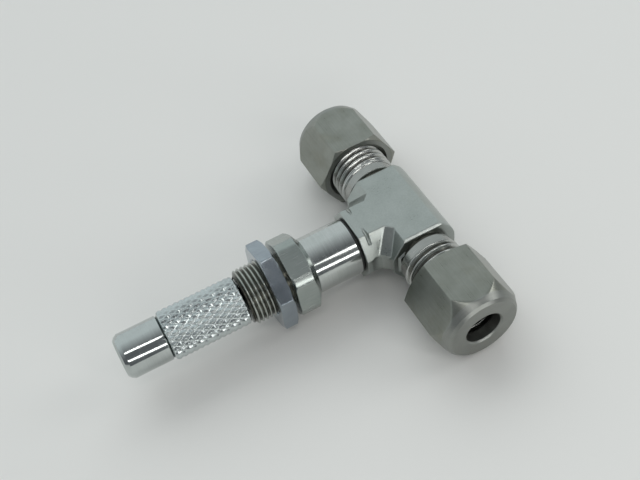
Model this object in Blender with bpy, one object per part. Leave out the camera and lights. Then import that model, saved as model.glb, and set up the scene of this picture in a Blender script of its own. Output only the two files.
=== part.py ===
"""Panel-mount metering needle valve, straight pattern, with compression fitting ends.

The valve lies on its side. The stem line runs along X, with the handle towards -X, and the
flow line runs along Y through the two tube fittings. Both lines meet in the middle of the
forged body. The origin is at the bottom centre of the whole valve's box.

Distances along the stem line are measured from the crossing of the two lines towards the
handle. Distances along a fitting are measured from the same crossing towards the tube.
"""
import bpy
import bmesh
from math import cos, pi, radians, sin, sqrt
from mathutils import Matrix, Vector

MM = 0.001
GAP = 0.1                   # clearance between pieces that slide or screw on each other
FACE_GAP = 0.3              # clearance between faces that touch on the real valve
SEAL_GAP = 0.05             # clearance round each seal in its groove
EDGE = 0.3                  # usual size of a turned chamfer
SMOOTH_ANGLE = 35.0         # steeper edges than this stay sharp

# Tube fittings, for 6.35 mm (1/4 in) tube
TUBE_BORE_R = 3.26
NUT_FLATS = 14.2875         # 9/16 in across flats
NUT_INNER = 14.92
NUT_OUTER = 27.2
NUT_CORNER_END = 23.27      # where the turned nose starts to cut the corners
INNER_CUT = 0.55            # how far its inner chamfer comes in from the corners
NUT_RIM_R = 6.3
NUT_NOSE_R = 6.65
NUT_CHAMFER = 0.35
NUT_MOUTH_R = 3.5
NUT_HOLE_R = 3.32
CHAMBER_START = 20.9        # the hollow round the ferrules
CHAMBER_SHOULDER = 24.1
CHAMBER_END = 25.0
CHAMBER_R = 4.75
FIT_THREAD_R = 5.25         # middle of the 7/16-20 thread
FIT_RELIEF_R = 4.85
FIT_RELIEF_END = 9.3
FIT_END = 20.6
TUBE_STOP = 12.0
SOCKET_CONE = 1.7           # length of the ferrule's cone
SOCKET_CONE_SLOPE = 0.42
CUT_PAST = 0.5              # how far a cutter runs past the face that it opens
FERRULE_BORE_R = 3.2
FERRULE_RIM_R = 4.45
FRONT_FERRULE = (19.4, 21.2, 22.7)  # nose, rim, back face
FRONT_FERRULE_SEAT = 21.9
FRONT_FERRULE_NOSE_R = 3.32
FRONT_FERRULE_RIM_R = (3.95, 4.35, 4.1)
BACK_FERRULE = (22.25, 22.95, 23.6, 24.2)   # nose, rim, end of the rim, back face
BACK_FERRULE_NOSE_R = 3.3
BACK_FERRULE_RIM_R = (4.0, 3.75)

# Forged body
RUN_R = 6.6
RUN_HALF = 8.4
BRANCH_R = 6.4
BRANCH_END = 9.95
RUN_CHAMFER = 0.35
BODY_FLAT_Z = 5.6
WEB_LEG = 1.8               # how far the web in each inner corner runs along the arms
WEB_LEVELS = 8              # an even number, so that none lies in the middle plane
WEB_INSET = 1.5             # depth of its inner edge below the arms
WEB_BURY = 0.15             # depth of its two outer edges
WEB_OVER = 0.2              # height past the flats, which cut it level
SLAB = 60.0
FLOW_R = 2.4
PASSAGE_R = 1.1
PASSAGE_SIDES = 16
PASSAGE_START = 1.5         # inside the tube stop
INLET_HOLE_END = (3.0, 0.8, 0.0)
OUTLET_HOLE_END = (-2.9, -0.6, 0.0)
ORIFICE_R = 0.71
SEAT_R = 2.0
SEAT_SPAN = (-1.6, 1.2)     # along the stem line
SEAT_BORE_START = -4.2
CHAMBER_FLOOR = 1.3
CHAMBER_WALL_R = 2.5
BARREL_FLOOR = 4.0

# Bonnet, measured along the stem line
BONNET_FLATS = 13.5
BONNET_TURNED_R = 7.35
BONNET_TURN = 21.3          # angle of the hexagon's first corner, from +Y towards +Z
BARREL_R = 4.6
BARREL_START = 4.3
NECK_R = 5.27
NECK_START = 10.45
HEX_START = 18.9
HEX_SHOULDER = 20.1
HEX_END = 23.75
PANEL_THREAD_R = 5.0        # middle of the 32 threads per inch panel thread
PANEL_THREAD_CHAMFER = 0.5
BONNET_END = 31.75
STEM_BORE_R = 3.15
FLANGE_BORE_R = 3.75
FLANGE_STOP = 9.8
STEM_BORE_END = 20.5
STEM_THREAD_BORE_R = 2.45
SEAL_RING_INSET = 0.15      # of the bonnet's seal below the neck
SEAL_RING_CHAMFER = 0.1
SEAL_RING_FACE_GAP = 0.06

# Stem
STEM_NOSE = 2.6
FLANGE_START = 4.7
FLANGE_END = 5.7
FLANGE_R = 3.6
SHANK_R = 3.05
SEAL_GROOVE = (11.4, 15.2)
GROOVE_R = 1.5
BACKUP_WIDTH = 0.9
GUIDE_GROOVE = (9.95, 11.05)
GUIDE_FLOOR_R = 2.2
SHANK_END = 16.2
SHANK_CONE = 0.4
NOSE_R = 1.8
SOCKET_DEPTH = 4.2          # of the hole that holds the needle
STEM_THREAD_R = 2.35
STEM_TIP_R = 1.95
STEM_END = 50.4

# Needle
NEEDLE_POINT = (-1.4, 0.2)  # station and radius
NEEDLE_ROOT = (1.25, 0.58)
NEEDLE_COLLAR = (1.45, 2.5)
NEEDLE_COLLAR_R = 1.6
NEEDLE_SHANK_R = 1.0
NEEDLE_END = 6.6

# Panel nut
PANEL_NUT = (24.64, 27.43)
PANEL_NUT_TURN = 35.0       # angle of the first corner, from +Y towards +Z
CORNER_CUT = 0.75           # how far the nut's chamfers come in from its corners
CORNER_OVER = 0.05

# Handle
HANDLE_START = 32.05
KNURL_END = 46.3
KNURL_R = 4.6
TIP_START = 46.6
TIP_R = 4.14
TIP_CHAMFER = 53.8
TIP_FACE_R = 3.5
HANDLE_END = 54.8
MOUTH_R = 0.45              # countersink of the handle's bore
MOUTH_DEPTH = 0.5
SET_SCREW_STATION = 49.0
SET_SCREW_ANGLES = (350.0, 260.0)   # from +Y towards +Z
SET_SCREW_R = 1.0
SET_SCREW_DEPTH = (1.98, 3.95)
SET_SCREW_CHAMFER = 0.15
SET_SCREW_SOCKET = (0.5, 0.9)       # radius and depth
SET_SCREW_SIDES = 12
SET_SCREW_HOLE = (1.2, 6.0)
SET_SCREW_HOLE_SIDES = 16

ROUND = 40                  # sides of a large round piece
SMALL_ROUND = 24            # sides of a small round piece
O_RING_POINTS = 12
HEX_CUTTER = (2.0, 34.0)    # the hexagonal cutters on the stem line
NUT_CUTTER = (12.0, 30.0)   # the same on the fittings

NUT_CORNER_R = NUT_FLATS / sqrt(3)
PANEL_CORNERS = [radians(PANEL_NUT_TURN + 60.0 * k) for k in range(6)]
ORIGIN_X = (NUT_CORNER_R - HANDLE_END) / 2
ORIGIN_Z = NUT_CORNER_R * min(sin(a) for a in PANEL_CORNERS)


def clear_scene():
    """Remove whatever the file holds."""
    for old in list(bpy.data.objects):
        bpy.data.objects.remove(old, do_unlink=True)
    for old in list(bpy.data.meshes):
        bpy.data.meshes.remove(old)


def material(name, colour, roughness, metallic):
    """One Principled material."""
    made = bpy.data.materials.new(name)
    made.use_nodes = True
    shader = made.node_tree.nodes["Principled BSDF"]
    shader.inputs["Base Color"].default_value = (*colour, 1.0)
    shader.inputs["Roughness"].default_value = roughness
    shader.inputs["Metallic"].default_value = metallic
    return made


def axis_frame(name, rotation):
    """An empty at the crossing of the two lines, its +Z along a line."""
    empty = bpy.data.objects.new(name, None)
    empty.location = (-ORIGIN_X * MM, 0.0, -ORIGIN_Z * MM)
    empty.rotation_euler = rotation
    bpy.context.scene.collection.objects.link(empty)
    return empty


def add_object(name, mesh, parent, finish):
    """Put a mesh into the scene under one of the axis frames."""
    made = bpy.data.objects.new(name, mesh)
    made.parent = parent
    mesh.materials.append(finish)
    bpy.context.scene.collection.objects.link(made)
    return made


def turned_mesh(name, outline, sides):
    """Turn a closed outline of (distance along +Z, radius) points about Z.

    The outline runs up the outer side first. A point with radius 0 becomes one vertex.
    """
    bm = bmesh.new()
    rings = []
    for along, radius in outline:
        if radius == 0:
            rings.append([bm.verts.new((0, 0, along * MM))])
            continue
        ring = []
        for k in range(sides):
            a = 2 * pi * k / sides
            ring.append(bm.verts.new((radius * cos(a) * MM, radius * sin(a) * MM, along * MM)))
        rings.append(ring)
    for low, high in zip(rings, rings[1:] + rings[:1]):
        if len(low) == 1 and len(high) == 1:
            continue
        for k in range(sides):
            corners = [low[k % len(low)], low[(k + 1) % len(low)]]
            corners += [high[(k + 1) % len(high)], high[k % len(high)]]
            bm.faces.new(list(dict.fromkeys(corners)))
    bmesh.ops.recalc_face_normals(bm, faces=bm.faces)
    mesh = bpy.data.meshes.new(name)
    bm.to_mesh(mesh)
    bm.free()
    mesh.shade_smooth()
    mesh.set_sharp_from_angle(angle=radians(SMOOTH_ANGLE))
    return mesh


def prism_mesh(name, corner_r, sides, start, end, first_corner):
    """A straight prism along Z whose first corner stands at an angle from +X towards +Y."""
    bm = bmesh.new()
    low = []
    for k in range(sides):
        a = radians(first_corner) + 2 * pi * k / sides
        low.append(bm.verts.new((corner_r * cos(a) * MM, corner_r * sin(a) * MM, start * MM)))
    bottom = bm.faces.new(low)
    pushed = bmesh.ops.extrude_face_region(bm, geom=[bottom])
    top = [v for v in pushed["geom"] if isinstance(v, bmesh.types.BMVert)]
    bmesh.ops.translate(bm, verts=top, vec=(0, 0, (end - start) * MM))
    bmesh.ops.recalc_face_normals(bm, faces=bm.faces)
    mesh = bpy.data.meshes.new(name)
    bm.to_mesh(mesh)
    bm.free()
    return mesh


def cutter(name, mesh, parent):
    """An object that only shapes another one."""
    made = bpy.data.objects.new(name, mesh)
    made.parent = parent
    made.hide_render = True
    made.display_type = "WIRE"
    bpy.context.scene.collection.objects.link(made)
    return made


def combine(target, other, operation):
    """Add an exact Boolean modifier."""
    step = target.modifiers.new(operation.title(), "BOOLEAN")
    step.operation = operation
    step.solver = "EXACT"
    step.object = other
    return step


def stem_angle(angle):
    """Turn an angle from +Y towards +Z into the stem frame's angle from its own X."""
    return 90.0 - angle


def ring_outline(start, end, inner, outer):
    """The outline of a plain ring."""
    return [(start, outer), (end, outer), (end, inner), (start, inner)]


# --- Forged body -------------------------------------------------------------------------

def fitting_outline():
    """Male half of a tube fitting, solid, from the crossing to its end."""
    return [
        (0.0, 0.0), (0.0, FIT_RELIEF_R), (FIT_RELIEF_END, FIT_RELIEF_R),
        (FIT_RELIEF_END + EDGE, FIT_THREAD_R), (FIT_END - 2 * EDGE, FIT_THREAD_R),
        (FIT_END, FIT_THREAD_R - 2 * EDGE), (FIT_END, 0.0),
    ]


def tube_socket_outline():
    """The hole for the tube, with the ferrule's cone at its mouth."""
    floor = TUBE_STOP - 2.0
    mouth_r = TUBE_BORE_R + SOCKET_CONE_SLOPE * (SOCKET_CONE + CUT_PAST)
    return [
        (floor, 0.0), (floor, FLOW_R), (TUBE_STOP, FLOW_R),
        (TUBE_STOP, TUBE_BORE_R), (FIT_END - SOCKET_CONE, TUBE_BORE_R),
        (FIT_END + CUT_PAST, mouth_r), (FIT_END + CUT_PAST, 0.0),
    ]


def passage_mesh(name, sign):
    """A drilled hole from one tube stop to one side of the orifice.

    The inlet hole ends below the orifice, at +X. The outlet hole ends above it, at -X.
    """
    start = Vector((0.0, sign * (TUBE_STOP - PASSAGE_START), 0.0))
    end = Vector(INLET_HOLE_END if sign < 0 else OUTLET_HOLE_END)
    along = end - start
    mesh = prism_mesh(name, PASSAGE_R, PASSAGE_SIDES, 0.0, along.length, 0.0)
    turn = along.to_track_quat("Z", "Y").to_matrix().to_4x4()
    mesh.transform(Matrix.Translation(start * MM) @ turn)
    return mesh


def web_mesh(name, corner):
    """The forged web that fills the inner corner between the branch and one arm.

    At each height its section is a triangle: one point deep inside the corner and one a
    little below the surface of each arm.
    """
    top = BODY_FLAT_Z + WEB_OVER
    bm = bmesh.new()
    rings = []
    for k in range(WEB_LEVELS):
        z = top * (2 * k / (WEB_LEVELS - 1) - 1)
        x = sqrt(RUN_R ** 2 - z ** 2)
        y = sqrt(BRANCH_R ** 2 - z ** 2)
        points = [(x - WEB_INSET, y - WEB_INSET)]
        points += [(x + WEB_LEG, y - WEB_BURY), (x - WEB_BURY, y + WEB_LEG)]
        rings.append([bm.verts.new((-px * MM, corner * py * MM, z * MM)) for px, py in points])
    for low, high in zip(rings, rings[1:]):
        for k in range(3):
            after = (k + 1) % 3
            bm.faces.new((low[k], low[after], high[after], high[k]))
    bm.faces.new(rings[0])
    bm.faces.new(rings[-1])
    bmesh.ops.recalc_face_normals(bm, faces=bm.faces)
    mesh = bpy.data.meshes.new(name)
    bm.to_mesh(mesh)
    bm.free()
    return mesh


def make_body(frames, finish):
    """Forged tee: two threaded arms along Y and the branch that takes the bonnet."""
    cross = frames["cross"]
    run = turned_mesh("valve_body", [
        (-RUN_HALF, 0.0), (-RUN_HALF, RUN_R - RUN_CHAMFER), (-RUN_HALF + RUN_CHAMFER, RUN_R),
        (RUN_HALF - RUN_CHAMFER, RUN_R), (RUN_HALF, RUN_R - RUN_CHAMFER), (RUN_HALF, 0.0),
    ][::-1], ROUND)
    run.transform(Matrix.Rotation(pi / 2, 4, "X"))
    body = add_object("valve_body", run, cross, finish)

    branch = turned_mesh("branch", [
        (0.0, 0.0), (0.0, BRANCH_R), (BRANCH_END - EDGE, BRANCH_R),
        (BRANCH_END, BRANCH_R - EDGE), (BRANCH_END, 0.0),
    ], ROUND)
    combine(body, cutter("branch_shape", branch, frames["stem"]), "UNION")

    for side, corner in (("inlet", -1), ("outlet", 1)):
        web = web_mesh(side + "_web", corner)
        combine(body, cutter(side + "_web_shape", web, cross), "UNION")

    slab = bmesh.new()
    bmesh.ops.create_cube(slab, size=1.0)
    bmesh.ops.scale(slab, verts=slab.verts, vec=(SLAB * MM, SLAB * MM, 2 * BODY_FLAT_Z * MM))
    slab_mesh = bpy.data.meshes.new("flats")
    slab.to_mesh(slab_mesh)
    slab.free()
    combine(body, cutter("flats_shape", slab_mesh, cross), "INTERSECT")

    for side in ("inlet", "outlet"):
        arm = turned_mesh(side + "_arm", fitting_outline(), ROUND)
        combine(body, cutter(side + "_arm_shape", arm, frames[side]), "UNION")
    for side in ("inlet", "outlet"):
        socket = turned_mesh(side + "_socket", tube_socket_outline(), ROUND)
        combine(body, cutter(side + "_socket_shape", socket, frames[side]), "DIFFERENCE")

    branch_bore = turned_mesh("branch_bore", [
        (SEAT_BORE_START, 0.0), (SEAT_BORE_START, SEAT_R + GAP),
        (CHAMBER_FLOOR, SEAT_R + GAP), (CHAMBER_FLOOR, CHAMBER_WALL_R),
        (BARREL_FLOOR, CHAMBER_WALL_R), (BARREL_FLOOR, BARREL_R + GAP),
        (BRANCH_END + CUT_PAST, BARREL_R + GAP), (BRANCH_END + CUT_PAST, 0.0),
    ], ROUND)
    combine(body, cutter("branch_bore_shape", branch_bore, frames["stem"]), "DIFFERENCE")
    for side, sign in (("inlet", -1), ("outlet", 1)):
        hole = passage_mesh(side + "_passage", sign)
        combine(body, cutter(side + "_passage_shape", hole, cross), "DIFFERENCE")
    return body


def make_seat(frames, finish):
    """Insert with the metering orifice, seated in the bottom of the branch bore."""
    outline = ring_outline(*SEAT_SPAN, ORIFICE_R, SEAT_R)
    return add_object("seat_insert", turned_mesh("seat_insert", outline, SMALL_ROUND),
                      frames["stem"], finish)


# --- Bonnet ------------------------------------------------------------------------------

def make_bonnet(frames, finish):
    """Bonnet: barrel in the body, polished neck, hexagon and panel thread."""
    outer = [
        (BARREL_START, FLANGE_BORE_R), (BARREL_START, BARREL_R - EDGE),
        (BARREL_START + EDGE, BARREL_R), (NECK_START, BARREL_R), (NECK_START, NECK_R),
        (HEX_START, NECK_R), (HEX_SHOULDER, BONNET_TURNED_R),
        (HEX_END - EDGE, BONNET_TURNED_R), (HEX_END, BONNET_TURNED_R - EDGE),
        (HEX_END, PANEL_THREAD_R), (BONNET_END - PANEL_THREAD_CHAMFER, PANEL_THREAD_R),
        (BONNET_END, PANEL_THREAD_R - PANEL_THREAD_CHAMFER),
    ]
    inner = [
        (BONNET_END, STEM_THREAD_BORE_R + EDGE), (BONNET_END - EDGE, STEM_THREAD_BORE_R),
        (STEM_BORE_END, STEM_THREAD_BORE_R), (STEM_BORE_END, STEM_BORE_R),
        (FLANGE_STOP, STEM_BORE_R), (FLANGE_STOP, FLANGE_BORE_R),
    ]
    bonnet = add_object("bonnet", turned_mesh("bonnet", outer + inner, ROUND),
                        frames["stem"], finish)
    corner_r = BONNET_FLATS / sqrt(3)
    hexagon = prism_mesh("bonnet_hexagon", corner_r, 6, *HEX_CUTTER, stem_angle(BONNET_TURN))
    combine(bonnet, cutter("bonnet_hexagon_shape", hexagon, frames["stem"]), "INTERSECT")
    return bonnet


def make_bonnet_seal(frames, finish):
    """Seal ring in the groove between the body and the bonnet's neck."""
    middle = (BRANCH_END + NECK_START) / 2
    half = (NECK_START - BRANCH_END) / 2 - SEAL_RING_FACE_GAP
    inner = BARREL_R + GAP
    outer = NECK_R - SEAL_RING_INSET
    cut = SEAL_RING_CHAMFER
    outline = [
        (middle - half, inner), (middle - half, outer - cut), (middle - half + cut, outer),
        (middle + half - cut, outer), (middle + half, outer - cut), (middle + half, inner),
    ]
    return add_object("bonnet_seal", turned_mesh("bonnet_seal", outline, ROUND),
                      frames["stem"], finish)


# --- Stem, needle and seals --------------------------------------------------------------

def make_stem(frames, finish):
    """Stem: flange that stops it from coming out, sealed shank, thread and handle end."""
    socket_r = NEEDLE_SHANK_R + GAP / 2
    outline = [
        (STEM_NOSE, socket_r), (STEM_NOSE, NOSE_R), (FLANGE_START, NOSE_R),
        (FLANGE_START, FLANGE_R), (FLANGE_END, FLANGE_R), (FLANGE_END, SHANK_R),
        (GUIDE_GROOVE[0], SHANK_R), (GUIDE_GROOVE[0], GUIDE_FLOOR_R),
        (GUIDE_GROOVE[1], GUIDE_FLOOR_R), (GUIDE_GROOVE[1], SHANK_R),
        (SEAL_GROOVE[0], SHANK_R), (SEAL_GROOVE[0], GROOVE_R),
        (SEAL_GROOVE[1], GROOVE_R), (SEAL_GROOVE[1], SHANK_R),
        (SHANK_END, SHANK_R), (SHANK_END + SHANK_CONE, STEM_THREAD_R),
        (HANDLE_START - GAP, STEM_THREAD_R), (HANDLE_START + EDGE, STEM_TIP_R),
        (STEM_END - EDGE, STEM_TIP_R), (STEM_END, STEM_TIP_R - EDGE), (STEM_END, 0.0),
        (STEM_NOSE + SOCKET_DEPTH, 0.0), (STEM_NOSE + SOCKET_DEPTH, socket_r),
    ]
    return add_object("stem", turned_mesh("stem", outline, SMALL_ROUND), frames["stem"], finish)


def make_needle(frames, finish):
    """Tapered needle, pressed into the stem's nose."""
    outline = [
        (NEEDLE_POINT[0], 0.0), NEEDLE_POINT, NEEDLE_ROOT,
        (NEEDLE_COLLAR[0], NEEDLE_COLLAR_R), (NEEDLE_COLLAR[1], NEEDLE_COLLAR_R),
        (NEEDLE_COLLAR[1], NEEDLE_SHANK_R), (NEEDLE_END, NEEDLE_SHANK_R), (NEEDLE_END, 0.0),
    ]
    return add_object("needle", turned_mesh("needle", outline, SMALL_ROUND),
                      frames["stem"], finish)


def o_ring_outline(middle, inner, section_r, points):
    """The round section of an O-ring."""
    outline = []
    for k in range(points):
        a = -2 * pi * k / points
        outline.append((middle + section_r * cos(a), inner + section_r - section_r * sin(a)))
    return outline


def make_stem_seals(frames, rubber, white):
    """The O-ring between its two backup rings, and the ring that guides the shank."""
    gap = SEAL_GAP
    low, high = SEAL_GROOVE[0] + gap, SEAL_GROOVE[1] - gap
    inner, outer = GROOVE_R + gap, STEM_BORE_R - gap
    seals = {
        "inner_backup_ring": ring_outline(low, low + BACKUP_WIDTH, inner, outer),
        "outer_backup_ring": ring_outline(high - BACKUP_WIDTH, high, inner, outer),
        "stem_guide_ring": ring_outline(GUIDE_GROOVE[0] + gap, GUIDE_GROOVE[1] - gap,
                                        GUIDE_FLOOR_R + gap, outer),
    }
    for name, outline in seals.items():
        add_object(name, turned_mesh(name, outline, SMALL_ROUND), frames["stem"], white)
    section_r = (STEM_BORE_R - GROOVE_R) / 2 - gap
    outline = o_ring_outline((low + high) / 2, inner, section_r, O_RING_POINTS)
    add_object("stem_o_ring", turned_mesh("stem_o_ring", outline, SMALL_ROUND),
               frames["stem"], rubber)


# --- Handle and its set screws -----------------------------------------------------------

def radial_frame_matrix(angle):
    """Stand a piece made along Z on the stem line, pointing out at an angle."""
    turn = Matrix.Rotation(radians(stem_angle(angle)), 4, "Z")
    return Matrix.Translation((0, 0, SET_SCREW_STATION * MM)) @ turn @ Matrix.Rotation(pi / 2, 4, "Y")


def make_handle(frames, finish):
    """Knurled grip and smooth end, bored for the stem and drilled for two set screws."""
    bore_r = STEM_TIP_R + GAP / 2
    outline = [
        (HANDLE_START, bore_r + MOUTH_R), (HANDLE_START, KNURL_R - EDGE),
        (HANDLE_START + EDGE, KNURL_R), (KNURL_END - EDGE, KNURL_R), (TIP_START, TIP_R),
        (TIP_CHAMFER, TIP_R), (HANDLE_END - EDGE, TIP_R - EDGE), (HANDLE_END, TIP_FACE_R),
        (HANDLE_END, 0.0), (STEM_END + FACE_GAP, 0.0), (STEM_END + FACE_GAP, bore_r),
        (HANDLE_START + MOUTH_DEPTH, bore_r),
    ]
    handle = add_object("handle", turned_mesh("handle", outline, ROUND), frames["stem"], finish)
    for number, angle in enumerate(SET_SCREW_ANGLES, start=1):
        hole = prism_mesh("set_screw_hole", SET_SCREW_R + GAP, SET_SCREW_HOLE_SIDES,
                          *SET_SCREW_HOLE, 0.0)
        hole.transform(radial_frame_matrix(angle))
        name = "set_screw_hole_{}_shape".format(number)
        combine(handle, cutter(name, hole, frames["stem"]), "DIFFERENCE")
    return handle


def make_set_screws(frames, finish):
    """Two socket set screws that grip the stem."""
    low, high = SET_SCREW_DEPTH
    socket_r, socket_depth = SET_SCREW_SOCKET
    cut = SET_SCREW_CHAMFER
    for number, angle in enumerate(SET_SCREW_ANGLES, start=1):
        name = "set_screw_{}".format(number)
        mesh = turned_mesh(name, [
            (low, 0.0), (low, SET_SCREW_R - EDGE), (low + EDGE, SET_SCREW_R),
            (high - cut, SET_SCREW_R), (high, SET_SCREW_R - cut), (high, socket_r),
            (high - socket_depth, socket_r), (high - socket_depth, 0.0),
        ], SET_SCREW_SIDES)
        mesh.transform(radial_frame_matrix(angle))
        add_object(name, mesh, frames["stem"], finish)


# --- Nuts and ferrules -------------------------------------------------------------------

def make_panel_nut(frames, finish):
    """Thin hexagon nut on the panel thread."""
    start, end = PANEL_NUT
    bore_r = PANEL_THREAD_R + GAP
    corner_r = NUT_CORNER_R
    cut_r, over_r = corner_r - CORNER_CUT, corner_r + CORNER_OVER
    outline = [
        (start, bore_r + EDGE), (start, cut_r), (start + NUT_CHAMFER, over_r),
        (end - NUT_CHAMFER, over_r), (end, cut_r), (end, bore_r + EDGE),
        (end - EDGE, bore_r), (start + EDGE, bore_r),
    ]
    nut = add_object("panel_nut", turned_mesh("panel_nut", outline, ROUND),
                     frames["stem"], finish)
    hexagon = prism_mesh("panel_nut_hexagon", corner_r, 6, *HEX_CUTTER,
                         stem_angle(PANEL_NUT_TURN))
    combine(nut, cutter("panel_nut_hexagon_shape", hexagon, frames["stem"]), "INTERSECT")
    return nut


def make_tube_nut(side, frames, finish):
    """Compression nut: hexagon, turned nose, thread, ferrule chamber and tube hole."""
    bore_r = FIT_THREAD_R + GAP
    corner_r = NUT_CORNER_R
    over_r = corner_r + CORNER_OVER
    outline = [
        (NUT_INNER, bore_r + EDGE), (NUT_INNER, corner_r - INNER_CUT),
        (NUT_INNER + EDGE, over_r), (NUT_CORNER_END, over_r),
        (NUT_OUTER - NUT_CHAMFER, NUT_NOSE_R), (NUT_OUTER, NUT_RIM_R),
        (NUT_OUTER, NUT_MOUTH_R), (NUT_OUTER - EDGE, NUT_HOLE_R),
        (CHAMBER_END, NUT_HOLE_R), (CHAMBER_SHOULDER, CHAMBER_R),
        (CHAMBER_START, CHAMBER_R), (CHAMBER_START, bore_r), (NUT_INNER + EDGE, bore_r),
    ]
    name = side + "_nut"
    nut = add_object(name, turned_mesh(name, outline, ROUND), frames[side], finish)
    hexagon = prism_mesh(side + "_nut_hexagon", corner_r, 6, *NUT_CUTTER, 0.0)
    combine(nut, cutter(side + "_nut_hexagon_shape", hexagon, frames[side]), "INTERSECT")
    return nut


def make_ferrules(side, frames, finish):
    """The front ferrule, whose nose sits in the body's cone, and the back ferrule."""
    nose, rim, end = FRONT_FERRULE
    cone_r, rim_r, cup_r = FRONT_FERRULE_RIM_R
    front = [
        (nose, FERRULE_BORE_R), (nose, FRONT_FERRULE_NOSE_R), (rim, cone_r), (rim, rim_r),
        (end, FERRULE_RIM_R), (end, cup_r), (FRONT_FERRULE_SEAT, FERRULE_BORE_R),
    ]
    nose, rim, rim_end, end = BACK_FERRULE
    cone_r, back_r = BACK_FERRULE_RIM_R
    back = [
        (nose, FERRULE_BORE_R), (nose, BACK_FERRULE_NOSE_R), (rim, cone_r),
        (rim, FERRULE_RIM_R), (rim_end, FERRULE_RIM_R), (end, back_r), (end, FERRULE_BORE_R),
    ]
    for which, outline in (("front", front), ("back", back)):
        name = "{}_{}_ferrule".format(side, which)
        add_object(name, turned_mesh(name, outline, ROUND), frames[side], finish)


def main():
    clear_scene()
    frames = {
        "cross": axis_frame("cross_frame", (0.0, 0.0, 0.0)),
        "stem": axis_frame("stem_frame", (0.0, -pi / 2, 0.0)),
        "inlet": axis_frame("inlet_frame", (pi / 2, 0.0, 0.0)),
        "outlet": axis_frame("outlet_frame", (-pi / 2, 0.0, 0.0)),
    }
    forged = material("forged_steel", (0.56, 0.58, 0.57), 0.42, 1.0)
    polished = material("polished_steel", (0.66, 0.66, 0.64), 0.16, 1.0)
    machined = material("machined_steel", (0.55, 0.55, 0.53), 0.3, 1.0)
    nut_steel = material("nut_steel", (0.46, 0.47, 0.45), 0.38, 1.0)
    knurled = material("knurled_steel", (0.68, 0.70, 0.70), 0.24, 1.0)
    hard = material("hard_steel", (0.30, 0.30, 0.31), 0.3, 1.0)
    rubber = material("seal_rubber", (0.03, 0.03, 0.03), 0.6, 0.0)
    white = material("white_plastic", (0.85, 0.85, 0.82), 0.45, 0.0)

    make_body(frames, forged)
    make_seat(frames, hard)
    make_bonnet(frames, polished)
    make_bonnet_seal(frames, rubber)
    make_stem(frames, machined)
    make_needle(frames, hard)
    make_stem_seals(frames, rubber, white)
    make_handle(frames, knurled)
    make_set_screws(frames, hard)
    make_panel_nut(frames, nut_steel)
    for side in ("inlet", "outlet"):
        make_tube_nut(side, frames, nut_steel)
        make_ferrules(side, frames, machined)


main()
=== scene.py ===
"""Needle valve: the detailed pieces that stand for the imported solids, the floor, light and camera."""
import math
import bmesh
import bpy
import numpy as np
from mathutils import Matrix, Vector


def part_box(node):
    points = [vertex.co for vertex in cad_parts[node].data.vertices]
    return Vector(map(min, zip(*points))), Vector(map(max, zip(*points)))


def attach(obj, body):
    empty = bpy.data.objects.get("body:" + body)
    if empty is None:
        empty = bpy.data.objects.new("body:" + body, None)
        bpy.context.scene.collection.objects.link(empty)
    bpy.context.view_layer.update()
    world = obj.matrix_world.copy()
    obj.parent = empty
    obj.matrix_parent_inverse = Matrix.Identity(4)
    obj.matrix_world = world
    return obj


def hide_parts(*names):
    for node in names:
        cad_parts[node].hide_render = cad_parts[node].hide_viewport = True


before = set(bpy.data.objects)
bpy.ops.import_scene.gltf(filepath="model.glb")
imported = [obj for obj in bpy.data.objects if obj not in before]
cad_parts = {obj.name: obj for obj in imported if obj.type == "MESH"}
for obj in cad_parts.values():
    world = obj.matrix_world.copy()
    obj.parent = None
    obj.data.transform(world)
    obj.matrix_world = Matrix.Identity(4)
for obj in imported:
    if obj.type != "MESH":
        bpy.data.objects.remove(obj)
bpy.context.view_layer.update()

MM = 0.001
TAU = 2 * math.pi
TINY = 1e-6

# The crossing of the stem line and the flow line, and the three lines that start there. Each
# line has its own direction and two directions across it, from which angles are counted.
NUT_LOW, NUT_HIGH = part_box("inlet_nut")
CROSS = np.array([(NUT_LOW.x + NUT_HIGH.x) / 2, 0.0, (NUT_LOW.z + NUT_HIGH.z) / 2]) / MM
LINES = {
    "stem": np.array([(-1, 0, 0), (0, 1, 0), (0, 0, 1)], float),
    "inlet": np.array([(0, -1, 0), (1, 0, 0), (0, 0, 1)], float),
    "outlet": np.array([(0, 1, 0), (1, 0, 0), (0, 0, 1)], float),
}


# ---------------------------------------------------------------------------- mesh making

def fillet(points, steps=3):
    """Round the corners of a closed outline of (station, radius, corner radius) points."""
    out = []
    count = len(points)
    for k in range(count):
        here = np.array(points[k][:2], float)
        size = points[k][2] if len(points[k]) > 2 else 0.0
        before = np.array(points[k - 1][:2], float) - here
        after = np.array(points[(k + 1) % count][:2], float) - here
        len_b, len_a = np.linalg.norm(before), np.linalg.norm(after)
        if size == 0 or len_b == 0 or len_a == 0:
            out.append(tuple(here))
            continue
        before, after = before / len_b, after / len_a
        half = math.acos(max(-1.0, min(1.0, float(before @ after)))) / 2
        reach = min(size / math.tan(half), 0.45 * len_b, 0.45 * len_a)
        radius = reach * math.tan(half)
        middle = before + after
        centre = here + middle / np.linalg.norm(middle) * radius / math.sin(half)
        start, end = here + before * reach - centre, here + after * reach - centre
        sweep = math.pi - 2 * half
        for s in range(steps + 1):
            f = s / steps
            a, b = math.sin((1 - f) * sweep), math.sin(f * sweep)
            out.append(tuple(centre + (a * start + b * end) / math.sin(sweep)))
    return out


def densify(outline, step, low=-math.inf, high=math.inf):
    """Split the outline's segments that lie between two stations to at most a step long."""
    out = []
    for here, after in zip(outline, outline[1:] + outline[:1]):
        out.append(here)
        if min(here[0], after[0]) < low or max(here[0], after[0]) > high:
            continue
        pieces = int(math.hypot(after[0] - here[0], after[1] - here[1]) / step)
        for k in range(1, pieces + 1):
            f = k / (pieces + 1)
            out.append((here[0] + f * (after[0] - here[0]), here[1] + f * (after[1] - here[1])))
    return out


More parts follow.
